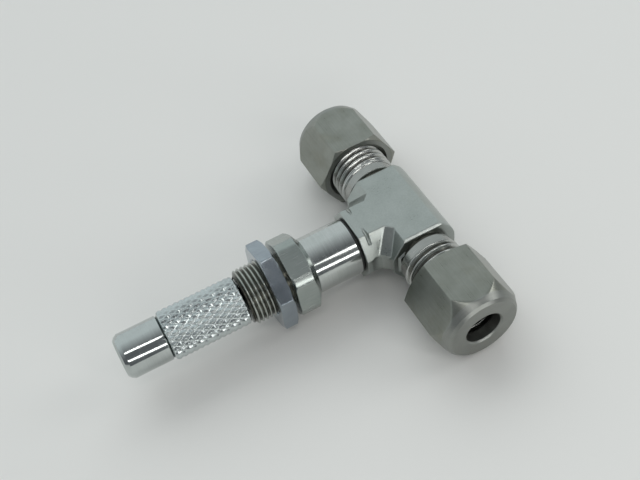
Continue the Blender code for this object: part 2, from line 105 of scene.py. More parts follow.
def thin(outline, every, keep):
    """Keep the points that keep(station, radius) asks for, and one in so many of the others."""
    return [p for k, p in enumerate(outline) if keep(*p) or k % every == 0]


def smooth_min(a, b, k):
    """The lesser of two distances, rounded over the width k where they are close."""
    h = np.maximum(k - np.abs(a - b), 0.0) / k
    return np.minimum(a, b) - h * h * k * 0.25


def smooth_max(a, b, k):
    return -smooth_min(-a, -b, k)


def make_object(name, points, faces, materials, face_slots=None, normals=None, sharp=None):
    """A closed mesh object from points in mm measured from the crossing."""
    points = np.asarray(points, float)
    quads = np.asarray(faces)
    a = points[quads[:, 0]]
    b = points[quads[:, 1]]
    c = points[quads[:, 2]]
    d = points[quads[:, 3]]
    across = np.cross(c - a, d - b)
    if float(np.einsum("ij,ij->i", a + b + c + d, across).sum()) < 0:
        quads = quads[:, ::-1]
        across = -across
    if normals is None and sharp is None:
        normals = np.zeros_like(points)
        for k in range(4):
            np.add.at(normals, quads[:, k], across)
        normals /= np.maximum(np.linalg.norm(normals, axis=1), 1e-12)[:, None]
    mesh = bpy.data.meshes.new(name)
    polys = [tuple(dict.fromkeys(q)) for q in quads.tolist()]
    mesh.from_pydata(((points + CROSS) * MM).tolist(), [], polys)
    mesh.validate()
    for material in materials:
        mesh.materials.append(material)
    if face_slots is not None:
        mesh.polygons.foreach_set("material_index", np.asarray(face_slots, np.int32))
    mesh.shade_smooth()
    if sharp is not None:
        mesh.set_sharp_from_angle(angle=math.radians(sharp))
    else:
        mesh.normals_split_custom_set_from_vertices(normals.tolist())
    made = bpy.data.objects.new(name, mesh)
    bpy.context.scene.collection.objects.link(made)
    return made


def wrap(line, along, radius, angles):
    """Points in mm for a grid of stations and radii round one line, and the grid's quads.

    The grid closes on itself both ways. A row with no radius becomes one point.
    """
    axis, u, v = LINES[line]
    rows, columns = radius.shape
    ring = np.cos(angles)[..., None] * u + np.sin(angles)[..., None] * v
    grid = along[..., None] * axis + radius[..., None] * ring
    index = np.arange(rows * columns).reshape(rows, columns)
    poles = np.nonzero(radius.max(axis=1) < TINY)[0]
    for row in poles:
        index[row] = index[row, 0]
    after = np.roll(index, -1, axis=0)
    quads = np.stack([index, np.roll(index, -1, 1), np.roll(after, -1, 1), after], -1)
    keep = np.ones(rows, bool)
    for row in poles:
        if (row + 1) % rows in poles:
            keep[row] = False
    row_of = np.repeat(np.arange(rows)[keep], columns)
    quads = quads[keep].reshape(-1, 4)
    used, inverse = np.unique(quads, return_inverse=True)
    return grid.reshape(-1, 3)[used], inverse.reshape(quads.shape), row_of


def turned(name, line, outline, columns, materials, shape=None, slot_of=None, sharp=None):
    """Turn a closed outline about a line. shape(t, r, angle) may change each radius."""
    t = np.array([p[0] for p in outline])[:, None]
    r = np.array([p[1] for p in outline])[:, None]
    angles = np.asarray(columns)[None, :] if np.ndim(columns) else None
    if angles is None:
        angles = (TAU * np.arange(columns) / columns)[None, :]
    t, r, angles = np.broadcast_arrays(t, r, angles)
    radius = r.copy() if shape is None else shape(t, r, angles)
    radius = np.where(r == 0, 0.0, radius)
    points, quads, row_of = wrap(line, t, radius, angles)
    face_slots = None
    if slot_of is not None:
        count = len(outline)
        middle = [(outline[k][0] + outline[(k + 1) % count][0]) / 2 for k in range(count)]
        inside = [(outline[k][1] + outline[(k + 1) % count][1]) / 2 for k in range(count)]
        face_slots = [slot_of(middle[row], inside[row]) for row in row_of]
    return make_object(name, points, quads, materials, face_slots, sharp=sharp)


HEX_POWER = 130.0           # sharpness of a hexagon's corners
# A hexagon's columns, in degrees from a corner to the middle of a side
HEX_OFFSETS = (0.0, 0.35, 0.7, 1.2, 2.0, 3.2, 4.8, 6.8, 9.2, 12.0, 15.0, 18.5, 22.0, 26.0, 30.0)


def hex_radius(angles, apothem, corner):
    """Distance from a hexagon's middle to its side, with slightly rounded corners."""
    total = 0.0
    for k in range(6):
        facing = np.cos(angles - corner - math.radians(30 + 60 * k))
        total = total + np.maximum(facing, 0.0) ** HEX_POWER
    return apothem / total ** (1 / HEX_POWER)


def hex_columns(corner):
    """Angles for a hexagon's columns, closer together near its corners."""
    offsets = sorted(set(HEX_OFFSETS) | {60.0 - o for o in HEX_OFFSETS if o > 0})
    return np.array([corner + math.radians(60 * k + o) for k in range(6) for o in offsets])


def handed(line):
    """1 if a line's angles turn right-handed about its direction, or else -1."""
    axis, u, v = LINES[line]
    return float(np.sign(np.dot(np.cross(u, v), axis)))


def thread_height(line, t, angles, pitch, flat):
    """1 on the crest and 0 in the root of a right-hand thread, whose sides curve a little."""
    phase = np.mod(t / pitch - handed(line) * angles / TAU, 1.0)
    wave = 1.0 - np.abs(2.0 * phase - 1.0)
    height = np.clip((wave - flat) / (1.0 - 2.0 * flat), 0.0, 1.0)
    curved = height * height * (3.0 - 2.0 * height)
    return curved * THREAD_CURVE + height * (1.0 - THREAD_CURVE)


# -------------------------------------------------------------------- threads and columns

THREAD_CURVE = 0.35         # how much of a thread's side is curved
THREAD_FLAT = 0.12          # of a pitch, at the crest and in the root
THREAD_FADE = 0.5           # mm over which a thread starts
THREAD_WALL = 1.0           # how far under the crests the threaded surface may lie
FIT_PITCH = 1.27
FIT_MAJOR_R = 5.55
FIT_DEPTH = 0.62
FIT_ROOT_SHADE = (4.95, 5.5)     # the radii between which the painted shade in the thread's roots fades out below the crests
FIT_THREAD_STEP = 0.085
PANEL_PITCH = 0.79375       # 32 threads an inch
PANEL_MAJOR_R = 5.2
PANEL_DEPTH = 0.42
# the radii between which the painted shade in the panel thread's roots fades out
PANEL_ROOT_SHADE = (4.8, 5.2)
PANEL_THREAD_STEP = 0.068
ARM_COLUMNS = 112
RING_COLUMNS = 96


# ------------------------------------------------------------------------------ materials

BLOTCH = 260.0              # scales of the patterns, in marks a metre
SCRATCHES = 9000.0
PIT_CELLS = 5200.0
MOULD_PATCHES = 700.0
MOULD_GRAINS = 6000.0
GRAIN_DEPTH = 0.03 * MM
PIT_DEPTH = 0.04 * MM
MOULD_DEPTH = 0.02 * MM
# Painted shade: the dark colour multiplied into the roots of the threads
ROOT_SHADE_COLOUR = (0.16, 0.15, 0.13)
WHOLE = (1.0, 1.0, 1.0)
MARK_SHADE = (0.88, 0.88, 0.88)


def node(tree, kind, **values):
    made = tree.nodes.new(kind)
    for key, value in values.items():
        setattr(made, key, value)
    return made


def noise(tree, vector, scale, detail, rough=0.55):
    made = node(tree, "ShaderNodeTexNoise")
    made.inputs["Scale"].default_value = scale
    made.inputs["Detail"].default_value = detail
    made.inputs["Roughness"].default_value = rough
    tree.links.new(vector, made.inputs["Vector"])
    return made.outputs["Fac"]


def ramp(tree, value, stops):
    made = node(tree, "ShaderNodeValToRGB")
    elements = made.color_ramp.elements
    while len(elements) < len(stops):
        elements.new(0.5)
    for element, (place, colour) in zip(elements, stops):
        element.position = place
        element.color = (*colour, 1.0)
    tree.links.new(value, made.inputs["Fac"])
    return made.outputs["Color"]


def spread(tree, value, low, high, from_low=0.3, from_high=0.7):
    made = node(tree, "ShaderNodeMapRange")
    made.inputs["From Min"].default_value = from_low
    made.inputs["From Max"].default_value = from_high
    made.inputs["To Min"].default_value = low
    made.inputs["To Max"].default_value = high
    tree.links.new(value, made.inputs["Value"])
    return made.outputs["Result"]


def multiplied(tree, factor, one, two):
    made = node(tree, "ShaderNodeMix", data_type="RGBA", blend_type="MULTIPLY")
    tree.links.new(factor, made.inputs["Factor"])
    tree.links.new(one, made.inputs["A"])
    tree.links.new(two, made.inputs["B"])
    return made.outputs["Result"]


def bump(tree, height, strength, distance, below=None):
    made = node(tree, "ShaderNodeBump")
    made.inputs["Strength"].default_value = strength
    made.inputs["Distance"].default_value = distance
    tree.links.new(height, made.inputs["Height"])
    if below is not None:
        tree.links.new(below, made.inputs["Normal"])
    return made.outputs["Normal"]


def stretched(tree, place, scale):
    made = node(tree, "ShaderNodeMapping")
    made.inputs["Scale"].default_value = scale
    tree.links.new(place, made.inputs["Vector"])
    return made.outputs["Vector"]


def steel(name, light, dark, rough, grain, grain_bump, stain=None, pits=0.0, roots=None):
    """Steel with a directional grain, patchy colour, fine scratches and small pits.

    rough is the lowest and highest roughness, and grain is the scale of the tool marks along
    X, Y and Z, in marks a metre. roots is a thread's line and the two radii in mm over which
    the thread's roots get painted shade.
    """
    made = bpy.data.materials.new(name)
    made.use_nodes = True
    tree = made.node_tree
    shader = tree.nodes["Principled BSDF"]
    place = node(tree, "ShaderNodeTexCoord").outputs["Object"]
    patches = noise(tree, place, BLOTCH, 4.0)
    marks = noise(tree, stretched(tree, place, grain), 1.0, 3.0, 0.6)
    fine = noise(tree, place, SCRATCHES, 2.0, 0.6)
    colour = ramp(tree, patches, ((0.3, dark), (0.7, light)))
    shade = ramp(tree, marks, ((0.3, MARK_SHADE), (0.62, WHOLE)))
    amount = spread(tree, fine, 0.75, 1.0)
    colour = multiplied(tree, amount, colour, shade)
    # Painted shade: darken the colour below a thread's crests, by the distance from its line
    if roots is not None:
        line, (low_r, high_r) = roots
        flat = node(tree, "ShaderNodeMapping")
        keep = 1.0 - np.abs(LINES[line][0])
        flat.inputs["Scale"].default_value = keep
        flat.inputs["Location"].default_value = -CROSS * MM * keep
        tree.links.new(place, flat.inputs["Vector"])
        reach = node(tree, "ShaderNodeVectorMath", operation="LENGTH")
        tree.links.new(flat.outputs["Vector"], reach.inputs[0])
        depth = spread(tree, reach.outputs["Value"], 0.0, 1.0, low_r * MM, high_r * MM)
        root_shade = ramp(tree, depth, ((0.0, ROOT_SHADE_COLOUR), (0.75, WHOLE)))
        full = spread(tree, patches, 1.0, 0.9)
        colour = multiplied(tree, full, colour, root_shade)
    if stain is not None:
        veil = noise(tree, place, BLOTCH * 0.45, 5.0, 0.65)
        veil_colour = ramp(tree, veil, ((0.0, stain), (1.0, stain)))
        veil_amount = spread(tree, veil, 0.0, 0.6, 0.5, 0.72)
        colour = multiplied(tree, veil_amount, colour, veil_colour)
    tree.links.new(colour, shader.inputs["Base Color"])
    low, high = rough
    both = node(tree, "ShaderNodeMath", operation="ADD")
    tree.links.new(spread(tree, patches, low * 0.5, high * 0.5), both.inputs[0])
    tree.links.new(spread(tree, marks, low * 0.5, high * 0.5), both.inputs[1])
    tree.links.new(both.outputs["Value"], shader.inputs["Roughness"])
    normal = bump(tree, marks, grain_bump, GRAIN_DEPTH)
    if pits > 0:
        cells = node(tree, "ShaderNodeTexVoronoi")
        cells.inputs["Scale"].default_value = PIT_CELLS
        tree.links.new(place, cells.inputs["Vector"])
        normal = bump(tree, cells.outputs["Distance"], pits, PIT_DEPTH, normal)
    tree.links.new(normal, shader.inputs["Normal"])
    shader.inputs["Metallic"].default_value = 1.0
    return made


def soft(name, light, dark, rough, sheen):
    """Rubber or plastic with a fine moulded grain."""
    made = bpy.data.materials.new(name)
    made.use_nodes = True
    tree = made.node_tree
    shader = tree.nodes["Principled BSDF"]
    place = node(tree, "ShaderNodeTexCoord").outputs["Object"]
    patches = noise(tree, place, MOULD_PATCHES, 4.0)
    grains = noise(tree, place, MOULD_GRAINS, 3.0)
    tree.links.new(ramp(tree, patches, ((0.3, dark), (0.7, light))), shader.inputs["Base Color"])
    tree.links.new(spread(tree, grains, rough - 0.08, rough + 0.08), shader.inputs["Roughness"])
    tree.links.new(bump(tree, grains, 0.25, MOULD_DEPTH), shader.inputs["Normal"])
    shader.inputs["Specular IOR Level"].default_value = sheen
    return made


FINE = 9000.0               # tool marks a metre, across the marks
DRAWN = 5200.0              # the same on a drawn bar
LONG = 160.0                # and along the marks
TURN_X = (FINE, LONG, LONG)
TURN_Y = (LONG, FINE, LONG)
DRAWN_X = (LONG, DRAWN, DRAWN)
DRAWN_Y = (DRAWN, LONG, DRAWN)
EVEN = (3600.0, 3600.0, 3600.0)

FORGED = steel("forged_steel", (0.45, 0.48, 0.46), (0.39, 0.42, 0.40), (0.26, 0.36), EVEN, 0.12,
               stain=(0.90, 0.90, 0.86), pits=0.06)
# Painted shade darkens the roots of the fitting's thread
ARM_STEEL = steel("fitting_thread_steel", (0.59, 0.60, 0.58), (0.50, 0.51, 0.49), (0.18, 0.28),
                  TURN_Y, 0.05, roots=("inlet", FIT_ROOT_SHADE))
NECK_STEEL = steel("polished_steel", (0.59, 0.61, 0.60), (0.52, 0.55, 0.53), (0.08, 0.15), TURN_X,
                   0.05)
HEX_STEEL = steel("bonnet_hexagon_steel", (0.43, 0.46, 0.44), (0.36, 0.40, 0.38), (0.20, 0.30),
                  DRAWN_X, 0.10)
# Painted shade darkens the roots of the panel nut's thread
PANEL_THREAD_STEEL = steel("panel_thread_steel", (0.58, 0.60, 0.56), (0.48, 0.50, 0.47),
                           (0.20, 0.30), TURN_X, 0.05, roots=("stem", PANEL_ROOT_SHADE))
PANEL_STEEL = steel("panel_nut_steel", (0.39, 0.44, 0.48), (0.33, 0.37, 0.41), (0.12, 0.19),
                    DRAWN_X, 0.10, stain=(0.92, 0.86, 0.80))
NUT_STEEL = steel("tube_nut_steel", (0.33, 0.34, 0.31), (0.26, 0.27, 0.24), (0.26, 0.36), DRAWN_Y,
                  0.10, stain=(0.86, 0.82, 0.74))
NUT_TURNED = steel("tube_nut_turned_steel", (0.35, 0.36, 0.34), (0.29, 0.30, 0.28), (0.34, 0.44),
                   TURN_Y, 0.08)
KNURL_STEEL = steel("knurled_steel", (0.63, 0.68, 0.68), (0.55, 0.59, 0.59), (0.16, 0.24), EVEN,
                    0.01)
TIP_STEEL = steel("handle_end_steel", (0.57, 0.61, 0.60), (0.51, 0.54, 0.53), (0.07, 0.14), TURN_X,
                  0.05)
STEM_STEEL = steel("stem_steel", (0.62, 0.62, 0.60), (0.52, 0.52, 0.50), (0.18, 0.28), TURN_X, 0.08)
FERRULE_STEEL = steel("ferrule_steel", (0.68, 0.68, 0.66), (0.55, 0.55, 0.53), (0.16, 0.26),
                      TURN_Y, 0.08)
HARD_STEEL = steel("hard_steel", (0.16, 0.16, 0.17), (0.09, 0.09, 0.10), (0.28, 0.42), EVEN, 0.2)
RUBBER = soft("seal_rubber", (0.035, 0.035, 0.035), (0.02, 0.02, 0.02), 0.5, 0.4)
WHITE = soft("white_plastic", (0.82, 0.81, 0.77), (0.74, 0.73, 0.69), 0.42, 0.5)


# ----------------------------------------------------------------------------- valve body

RUN_R = 6.6
RUN_HALF = 8.4
BRANCH_END = 9.95
FLAT_Z = 5.6                # half the thickness between the forging's flats
TRIM_RUN = 6.45
TRIM_BRANCH = 6.3
SLOPE_OUT = 0.832           # the draft of the forged sides, as a unit direction
SLOPE_UP = 0.555
SLOPE_REACH = 6.03
END_CHAMFER = 0.4
END_SLOPE = 0.707
WEB_REACH = 16.1            # out plus along plus slope times height, on the web's face
WEB_SLOPE = 1.39
WEB_TRIM = 13.5
WEB_TRIM_SLOPE = 0.7
WEB_START = 2.5
WEB_ARC_R = 2.1
WEB_ARC_AT = 8.22
NOTCH_R = 6.35
NOTCH_AT = 8.35
NOTCH_LOW = 3.9
NOTCH_SQUEEZE = 1.5
NOTCH_HALF = 0.5
SOCKET_R = 4.72             # the bore that takes the bonnet, and the narrower ones below it
SOCKET_START = 4.0
SEAT_R = 2.5
SEAT_START = 1.3
CHAMBER_R = 2.1
CHAMBER_START = -4.2
FLOW_R = 1.15
FLOW_START = 0.6
RUN_EDGE_R = 0.22           # how widely the forging's surfaces blend
EDGE_R = 0.12
SMALL_EDGE_R = 0.1
CRISP_EDGE_R = 0.08

VOXEL = 0.15
GRID_SHIFT = 0.037          # keeps the flats between the grid's points
NET_TURNS = 4
NET_PROBE = 0.2             # of a voxel
NET_FLATTEST = 0.05

ARM_START = 7.6
ARM_WALL_R = 4.2            # the arm's outside lies beyond this radius
ARM_BORE_R = 2.4
ARM_BORE_START = 10.0
FLOW_BORE_R = 1.2
FLOW_BORE_END = 9.4
FIT_GROOVE_R = 4.7
FIT_RELIEF_END = 9.3
FIT_NECK_R = 5.2
FIT_THREAD_START = 11.2
FIT_RAMP = 0.3
FIT_CHAMFER = 0.72
FIT_END = 20.6
CONE_LENGTH = 1.7
CONE_RISE = 0.72
TUBE_R = 3.26
TUBE_STOP = 12.0


def body_distance(x, y, z):
    """Signed distance, near enough, to the forged tee; x runs against the stem line."""
    out = -x
    side = np.abs(y)
    high = np.abs(z)
    slope = out * SLOPE_OUT + high * SLOPE_UP - SLOPE_REACH
    run = smooth_max(np.hypot(x, z) - RUN_R, side - RUN_HALF, RUN_EDGE_R)
    run = smooth_max(run, slope, SMALL_EDGE_R)
    run = smooth_max(run, np.abs(x) - TRIM_RUN, EDGE_R)
    slope = side * SLOPE_OUT + high * SLOPE_UP - SLOPE_REACH
    branch = smooth_max(slope, side - TRIM_BRANCH, EDGE_R)
    branch = smooth_max(branch, out - BRANCH_END, SMALL_EDGE_R)
    branch = np.maximum(branch, -out)
    web = (out + side + WEB_SLOPE * high - WEB_REACH) / np.sqrt(2.0 + WEB_SLOPE ** 2)
    web = np.maximum(web, np.maximum(WEB_START - out, WEB_START - side))
    web = np.maximum(web, (out + side - WEB_TRIM) * WEB_TRIM_SLOPE)
    tee = smooth_min(smooth_min(run, branch, SMALL_EDGE_R), web, EDGE_R)
    trim = WEB_ARC_R - np.hypot(out - WEB_ARC_AT, side - WEB_ARC_AT)
    tee = smooth_max(tee, trim, CRISP_EDGE_R)
    tee = smooth_max(tee, high - FLAT_Z, EDGE_R)
    chamfer = (high + side - FLAT_Z - RUN_HALF + END_CHAMFER) * END_SLOPE
    tee = smooth_max(tee, chamfer, CRISP_EDGE_R)
    bore = np.hypot(y, z)
    notch = np.hypot(bore - NOTCH_R, (out - NOTCH_AT) * NOTCH_SQUEEZE) - NOTCH_HALF
    tee = np.maximum(tee, -np.maximum(notch, NOTCH_LOW - high))
    socket = np.maximum(bore - SOCKET_R, SOCKET_START - out)
    seat = np.maximum(bore - SEAT_R, SEAT_START - out)
    chamber = np.maximum(bore - CHAMBER_R, CHAMBER_START - out)
    hollow = np.minimum(np.minimum(socket, seat), chamber)
    flow = np.maximum(np.hypot(x, z) - FLOW_R, FLOW_START - side)
    return np.maximum(tee, -np.minimum(hollow, flow))


def surface_net(distance, low, high, step):
    """Points, quads and normals of the zero surface of a distance, on an even grid."""
    axes = [np.arange(a, b + step, step) for a, b in zip(low, high)]
    grid = np.meshgrid(*axes, indexing="ij")
    value = distance(*grid)
    shape = np.array(value.shape) - 1
    corner = {}
    for i in (0, 1):
        for j in (0, 1):
            for k in (0, 1):
                corner[i, j, k] = value[i:i + shape[0], j:j + shape[1], k:k + shape[2]]
    inside = sum((c < 0).astype(np.int8) for c in corner.values())
    mixed = (inside > 0) & (inside < 8)
    index = np.full(mixed.shape, -1)
    index[mixed] = np.arange(int(mixed.sum()))
    cells = np.argwhere(mixed)
    total = np.zeros((len(cells), 3))
    count = np.zeros(len(cells))
    keys = sorted(corner)
    for one in keys:
        for two in keys:
            if one >= two or sum(abs(p - q) for p, q in zip(one, two)) != 1:
                continue
            a, b = corner[one][mixed], corner[two][mixed]
            crossing = (a < 0) != (b < 0)
            f = np.where(crossing, a / np.where(crossing, a - b, 1.0), 0.0)
            place = np.array(one) + f[:, None] * (np.array(two) - np.array(one))
            total += place * crossing[:, None]
            count += crossing
    points = np.array(low) + (cells + total / count[:, None]) * step
    small = step * NET_PROBE
    for turn in range(NET_TURNS):
        base = distance(*points.T)
        slope = np.stack([
            (distance(*(points + small * e).T) - distance(*(points - small * e).T)) / (2 * small)
            for e in np.eye(3)], -1)
        size = np.maximum((slope ** 2).sum(1), NET_FLATTEST)
        move = -(base / size)[:, None] * slope
        if turn < NET_TURNS - 1:
            points = points + np.clip(move, -step / 2, step / 2)
    normals = slope / np.linalg.norm(slope, axis=1)[:, None]
    faces = []
    for axis in range(3):
        one = [slice(1, -1)] * 3
        two = [slice(1, -1)] * 3
        one[axis], two[axis] = slice(0, -1), slice(1, None)
        a, b = value[tuple(one)] < 0, value[tuple(two)] < 0
        spots = np.argwhere(a != b)
        leaving = a[tuple(spots.T)]
        spots[:, (axis + 1) % 3] += 1
        spots[:, (axis + 2) % 3] += 1
        step_1, step_2 = np.eye(3, dtype=int)[(axis + 1) % 3], np.eye(3, dtype=int)[(axis + 2) % 3]
        ring = [spots - step_1 - step_2, spots - step_2, spots, spots - step_1]
        quad = np.stack([index[tuple(r.T)] for r in ring], -1)
        faces.append(np.where(leaving[:, None], quad, quad[:, ::-1]))
    return points, np.concatenate(faces), normals


def male_thread(line, start, end, pitch, major, depth):
    """The radius of a thread that fades in at its start and ends in a chamfer."""
    def shape(t, r, angles):
        height = thread_height(line, t, angles, pitch, THREAD_FLAT)
        cut = depth * (1.0 - height)
        fade = np.clip((t - start) / THREAD_FADE, 0.0, 1.0)
        inside = (t >= start - TINY) & (t <= end) & (r > major - THREAD_WALL)
        return np.where(inside, np.minimum(r, np.minimum(r, major) - cut * fade), r)
    return shape


def make_arm(side):
    """One threaded fitting end, with its tube socket and the cone for the ferrule."""
    outline = fillet([
        (ARM_START, FLOW_BORE_R), (ARM_START, FIT_GROOVE_R),
        (FIT_RELIEF_END - FIT_RAMP, FIT_GROOVE_R, 0.15), (FIT_RELIEF_END, FIT_NECK_R, 0.1),
        (FIT_THREAD_START - FIT_RAMP, FIT_NECK_R, 0.1), (FIT_THREAD_START, FIT_MAJOR_R, 0.08),
        (FIT_END - 0.75, FIT_MAJOR_R, 0.1), (FIT_END, FIT_MAJOR_R - FIT_CHAMFER, 0.12),
        (FIT_END, TUBE_R + CONE_RISE, 0.1), (FIT_END - CONE_LENGTH, TUBE_R, 0.1),
        (TUBE_STOP, TUBE_R, 0.05), (TUBE_STOP, ARM_BORE_R, 0.1), (ARM_BORE_START, ARM_BORE_R, 0.05),
        (FLOW_BORE_END, FLOW_BORE_R, 0.05),
    ])
    outline = densify(outline, FIT_THREAD_STEP, FIT_THREAD_START - 0.4, FIT_END)
    cone, stop = FIT_END - 0.2, TUBE_STOP + 1.0
    outline = thin(outline, 6, lambda t, r: r > ARM_WALL_R or t > cone or t < stop)
    shape = male_thread(side, FIT_THREAD_START - 0.1, FIT_END, FIT_PITCH, FIT_MAJOR_R, FIT_DEPTH)
    name = "valve_body_{}_thread".format(side)
    return turned(name, side, outline, ARM_COLUMNS, [ARM_STEEL], shape)


def make_body():
    """The forging and its two threaded arms."""
    margin = 3 * VOXEL
    low = [a + GRID_SHIFT for a in (-BRANCH_END - margin, -RUN_HALF - margin, -FLAT_Z - margin)]
    high = (RUN_R + margin, RUN_HALF + margin, FLAT_Z + margin)
    points, quads, normals = surface_net(body_distance, low, high, VOXEL)
    body = make_object("valve_body_forging", points, quads, [FORGED], normals=normals)
    return [body, make_arm("inlet"), make_arm("outlet")]


# --------------------------------------------------------------------------------- bonnet

BONNET_START = 4.3
BONNET_WALL_R = 4.0         # the bonnet's outside lies beyond this radius
SPIGOT_R = 4.6              # the part inside the body
PACKING_R = 3.75            # the bore round the stem's seals
PACKING_END = 9.8
STEM_BORE_R = 3.15
STEM_BORE_END = 20.5
STEM_THREAD_R = 2.47
NECK_R = 5.27
NECK_START = 10.45
HEX_START = 18.9
HEX_SHOULDER = 20.1
HEX_END = 23.75
HEX_CHAMFER = 0.3
HEX_STEP = 0.13
BONNET_FLATS = 13.5
BONNET_TURNED_R = 7.35
BONNET_CORNER = math.radians(21.3)
THREAD_RELIEF_R = 4.72
THREAD_START = 24.3
THREAD_CHAMFER = 0.6
BONNET_END = 31.75
SEAL_SPAN = (10.0, 10.4)
SEAL_R = 5.12


def make_bonnet():
    """The bonnet: its neck, its hexagon and the thread of the panel nut."""
    outline = fillet([
        (BONNET_START, PACKING_R), (BONNET_START, SPIGOT_R - 0.3), (BONNET_START + 0.3, SPIGOT_R),
        (NECK_START, SPIGOT_R, 0.05), (NECK_START, NECK_R, 0.05),
        (HEX_START, NECK_R, 0.12), (HEX_SHOULDER, BONNET_TURNED_R, 0.08),
        (HEX_END - HEX_CHAMFER, BONNET_TURNED_R, 0.05), (HEX_END, BONNET_TURNED_R - HEX_CHAMFER, 0.05),
        (HEX_END, THREAD_RELIEF_R, 0.06), (THREAD_START - 0.05, THREAD_RELIEF_R, 0.1),
        (THREAD_START + 0.35, PANEL_MAJOR_R), (BONNET_END - THREAD_CHAMFER, PANEL_MAJOR_R, 0.05),
        (BONNET_END, PANEL_MAJOR_R - THREAD_CHAMFER, 0.1), (BONNET_END, STEM_THREAD_R + 0.28, 0.08),
        (BONNET_END - 0.3, STEM_THREAD_R, 0.05), (STEM_BORE_END, STEM_THREAD_R),
        (STEM_BORE_END, STEM_BORE_R), (PACKING_END, STEM_BORE_R), (PACKING_END, PACKING_R),
    ])
    outline = densify(outline, HEX_STEP, HEX_START - 0.1, HEX_END)
    outline = densify(outline, PANEL_THREAD_STEP, THREAD_START - 0.1, BONNET_END)

    def keep(t, r):
        steps = (BONNET_START, PACKING_END, STEM_BORE_END)
        return r > BONNET_WALL_R or t > BONNET_END - 0.45 or min(abs(t - step) for step in steps) < 0.01

    outline = thin(outline, 12, keep)
    thread = male_thread("stem", THREAD_START, BONNET_END, PANEL_PITCH, PANEL_MAJOR_R, PANEL_DEPTH)

    def shape(t, r, angles):
        flats = hex_radius(angles, BONNET_FLATS / 2, BONNET_CORNER)
        hexed = (t > HEX_START - 0.05) & (t < HEX_END + 0.01) & (r > NECK_R)
        return np.where(hexed, smooth_min(r, flats, 0.05), thread(t, r, angles))

    def slot_of(t, r):
        if t < HEX_START - 0.2:
            return 0
        return 1 if t < HEX_END + 0.02 else 2

    return turned("bonnet_detail", "stem", outline, hex_columns(BONNET_CORNER),
                  [NECK_STEEL, HEX_STEEL, PANEL_THREAD_STEEL], shape, slot_of)


def make_bonnet_seal():
    """The thin black ring between the body and the bonnet's neck."""
    start, end = SEAL_SPAN
    outline = fillet([
        (start, SOCKET_R, 0.05), (start, SEAL_R, 0.12), (end, SEAL_R, 0.12), (end, SOCKET_R, 0.05),
    ])
    return turned("bonnet_seal_detail", "stem", outline, RING_COLUMNS, [RUBBER])


# ----------------------------------------------------------------------------------- nuts

NUT_FLATS = 14.2875         # 9/16 inch across the flats
NUT_CORNER_R = NUT_FLATS / math.sqrt(3)
NUT_TOP_R = NUT_CORNER_R + 0.06
PANEL_NUT = (24.64, 27.43)
PANEL_CORNER = math.radians(35.0)
PANEL_BORE_R = 5.28
PANEL_BEVEL = (0.36, 0.72)  # of the corners, along the axis and across it
PANEL_STEP = 0.11
PANEL_MOUTH_R = 5.6
PANEL_WALL_R = 6.4

NUT_INNER = 14.92
NUT_OUTER = 27.2
NUT_BEVEL = (0.48, 0.95)
NUT_THREAD_R = FIT_MAJOR_R + 0.1
NUT_THREAD_DEPTH = FIT_DEPTH - 0.12
NUT_MOUTH = 0.7             # the chamfer where the fitting's thread goes in
NUT_SHOULDER = 23.4         # where the turned end starts to narrow
NUT_NOSE = (26.74, 6.76)
NUT_FACE_R = 6.3
NUT_HOLE_R = 3.34
NUT_HOLE_START = 25.0
NUT_SEAT = 24.1             # the cone that presses on the back ferrule
NUT_THREAD_END = 20.9
NUT_RELIEF_R = 4.75
NUT_STEP = 0.13
NUT_WALL_R = 6.2            # the hexagon's outside lies beyond this radius
NUT_FLATS_END = 25.6


def make_panel_nut():
    """The thin hexagon nut that holds the valve in a panel."""
    start, end = PANEL_NUT
    bevel, drop = PANEL_BEVEL
    outline = fillet([
        (start, PANEL_MOUTH_R, 0.06), (start, NUT_CORNER_R - drop, 0.06), (start + bevel, NUT_TOP_R, 0.1),
        (end - bevel, NUT_TOP_R, 0.1), (end, NUT_CORNER_R - drop, 0.06),
        (end, PANEL_MOUTH_R, 0.06), (end - 0.3, PANEL_BORE_R, 0.06), (start + 0.3, PANEL_BORE_R, 0.06),
    ])
    outline = thin(densify(outline, PANEL_STEP), 3, lambda t, r: r > PANEL_WALL_R)

    def shape(t, r, angles):
        flats = hex_radius(angles, NUT_FLATS / 2, PANEL_CORNER)
        return np.where(r > PANEL_WALL_R, smooth_min(r, flats, 0.04), r)

    columns = hex_columns(PANEL_CORNER)
    return turned("panel_nut_detail", "stem", outline, columns, [PANEL_STEEL], shape)


